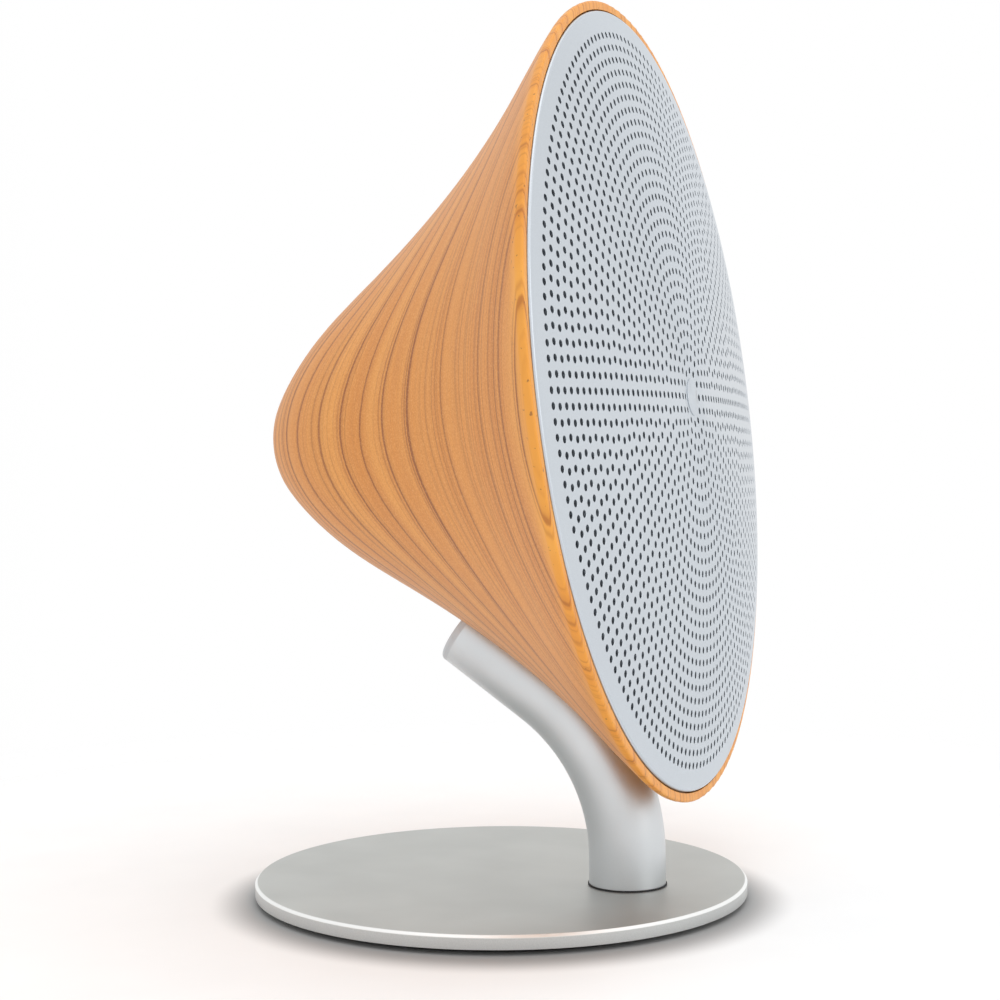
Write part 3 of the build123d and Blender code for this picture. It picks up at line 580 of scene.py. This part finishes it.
def surround_section():
    """Half roll with a lip at each side, as a closed loop of (radius, height)."""
    middle, outer_r, inner_r = CONE_RIM_R + ROLL_R, ROLL_R + ROLL_T / 2, ROLL_R - ROLL_T / 2
    low, high = FLANGE_FRONT, FLANGE_FRONT + ROLL_T
    turns = [pi * i / ROLL_STEPS for i in range(ROLL_STEPS + 1)]
    under = [(middle - inner_r * cos(a), low + inner_r * sin(a)) for a in turns]
    over = [(middle + outer_r * cos(a), low + outer_r * sin(a)) for a in turns if outer_r * sin(a) > ROLL_T]
    near, far = middle - inner_r - LIP_W, middle + inner_r + LIP_W
    return [(near, low)] + under + [(far, low), (far, high)] + over + [(near, high)]


def spider_section():
    """Corrugated ring between the coil former and the shelf."""
    start, end, points = FORMER_R + FLAT_IN, SHELF_R - FLAT_OUT, WAVE_STEPS * SPIDER_WAVES
    low = [(FORMER_R, SHELF_TOP)]
    for i in range(points + 1):
        share = i / points
        wave = (1 - cos(2 * pi * SPIDER_WAVES * share)) / 2
        low.append((start + (end - start) * share, SHELF_TOP + SPIDER_RISE * wave))
    low.append((SHELF_R + SHELF_GRIP, SHELF_TOP))
    return low + [(r, z + SPIDER_T) for r, z in reversed(low)]


def flexing_ring(node, slot, section):
    """Ring in sectors, each built from the ring's section swept round part of a turn."""
    for sector in range(SECTORS):
        shape = Shape()
        turns = [2 * pi * (sector + i / SECTOR_STEPS) / SECTORS for i in range(SECTOR_STEPS + 1)]
        rows = [shape.add((r * cos(a), r * sin(a), z) for r, z in section) for a in turns]
        for row, following in zip(rows, rows[1:]):
            shape.skin(following, row)
        shape.faces.append(tuple(rows[0]))
        shape.faces.append(tuple(rows[-1][::-1]))
        piece = shape.build(f"{node}_{sector + 1:02d}", slot)
        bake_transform(piece)
        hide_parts(node)


# ---- stage ----
CAMERA_TURN, CAMERA_RISE, CAMERA_ROLL = radians(-70.96), radians(3.47), radians(-0.353)
CAMERA_AIM, CAMERA_DISTANCE = Vector((0, -0.0003, 0.1047)), 0.6077
CAMERA_LENS, SENSOR_WIDTH = 83.24, 36
FLOOR_HALF, FADE_START, FADE_END = 0.4, 0.12, 0.30
# Where the painted shadow on the floor round the base starts and ends, and how far its centre is shifted toward
# the camera
PAINTED_SHADOW_START, PAINTED_SHADOW_END, PAINTED_SHADOW_SHIFT = 0.063, 0.078, (0.004, 0.0015, 0)
STUDIO_CENTRE = (0, 0, 0.1)


def camera():
    """Camera on a sphere round its aim, turned from the front, raised and slightly rolled."""
    back = Vector((
        sin(CAMERA_TURN) * cos(CAMERA_RISE), -cos(CAMERA_TURN) * cos(CAMERA_RISE), sin(CAMERA_RISE)
    ))
    right = Vector((0, 0, 1)).cross(back).normalized()
    up = back.cross(right)
    right, up = (
        right * cos(CAMERA_ROLL) + up * sin(CAMERA_ROLL),
        up * cos(CAMERA_ROLL) - right * sin(CAMERA_ROLL),
    )
    lens = bpy.data.cameras.new("camera")
    lens.lens, lens.sensor_width = CAMERA_LENS, SENSOR_WIDTH
    lens.clip_start, lens.clip_end = 0.01, 20
    holder = bpy.data.objects.new("camera", lens)
    turn = Matrix((right, up, back)).transposed().to_4x4()
    holder.matrix_world = Matrix.Translation(CAMERA_AIM + back * CAMERA_DISTANCE) @ turn
    bpy.context.scene.collection.objects.link(holder)
    bpy.context.scene.camera = holder


def floor():
    """White table top with a painted shadow close round the base, fading out into the white world."""
    look = Look("floor_white", Roughness=0.9)
    dust = look.noise(look.place, 40, 2.0, 0.5)
    tint = look.mix(look.remap(dust, 0.3, 0.7), (0.95, 0.95, 0.95), (0.97, 0.97, 0.97))
    # Painted shadow: the floor is tinted dark close round the base, more on the camera's side
    shade = look.remap(look.from_axis(PAINTED_SHADOW_SHIFT), PAINTED_SHADOW_START, PAINTED_SHADOW_END, 0.7, 0.0, smooth=True)
    tint = look.mix(shade, tint, (0.14, 0.14, 0.14))
    fade = look.remap(look.from_axis(), FADE_START, FADE_END, 1.0, 0.0, smooth=True)
    look.plug(fade, look.shader.inputs["Alpha"])
    half = FLOOR_HALF
    corners = [(-half, -half, 0), (half, -half, 0), (half, half, 0), (-half, half, 0)]
    mesh = bpy.data.meshes.new("floor")
    mesh.from_pydata(corners, [], [(0, 1, 2, 3)])
    mesh.materials.append(look.paint(tint))
    plane = bpy.data.objects.new("floor", mesh)
    bpy.context.scene.collection.objects.link(plane)


def softbox(name, place, size, power):
    """Square lamp that points at the object."""
    lamp = bpy.data.lights.new(name, "AREA")
    lamp.shape, lamp.size, lamp.energy = "SQUARE", size, power
    holder = bpy.data.objects.new(name, lamp)
    holder.location = place
    holder.rotation_euler = (Vector(STUDIO_CENTRE) - Vector(place)).to_track_quat("-Z", "Y").to_euler()
    bpy.context.scene.collection.objects.link(holder)


def studio():
    """White world, a little weaker behind the object, with two soft lamps."""
    world = bpy.data.worlds.new("studio")
    world.use_nodes = True
    tree = world.node_tree
    where = tree.nodes.new("ShaderNodeTexCoord").outputs["Generated"]
    split = tree.nodes.new("ShaderNodeSeparateXYZ")
    tree.links.new(where, split.inputs[0])
    fade = tree.nodes.new("ShaderNodeMapRange")
    tree.links.new(split.outputs[1], fade.inputs[0])
    for socket, value in zip(fade.inputs[1:], (0.5, 1.0, 1.0, 0.88)):
        socket.default_value = value
    sky = tree.nodes["Background"]
    tree.links.new(fade.outputs[0], sky.inputs["Strength"])
    sky.inputs["Color"].default_value = (1, 1, 1, 1)
    bpy.context.scene.world = world
    bpy.context.scene.view_settings.view_transform = "Standard"
    softbox("overhead", (-0.1, -0.2, 1.3), 1.0, 2.5)
    softbox("key", (-0.3, -1.3, 0.6), 0.7, 1.5)


dress_cad()
grille()
badge()
cloth()
flexing_ring("surround", "foam_black", surround_section())
flexing_ring("spider", "spider_cloth", spider_section())
camera()
floor()
studio()
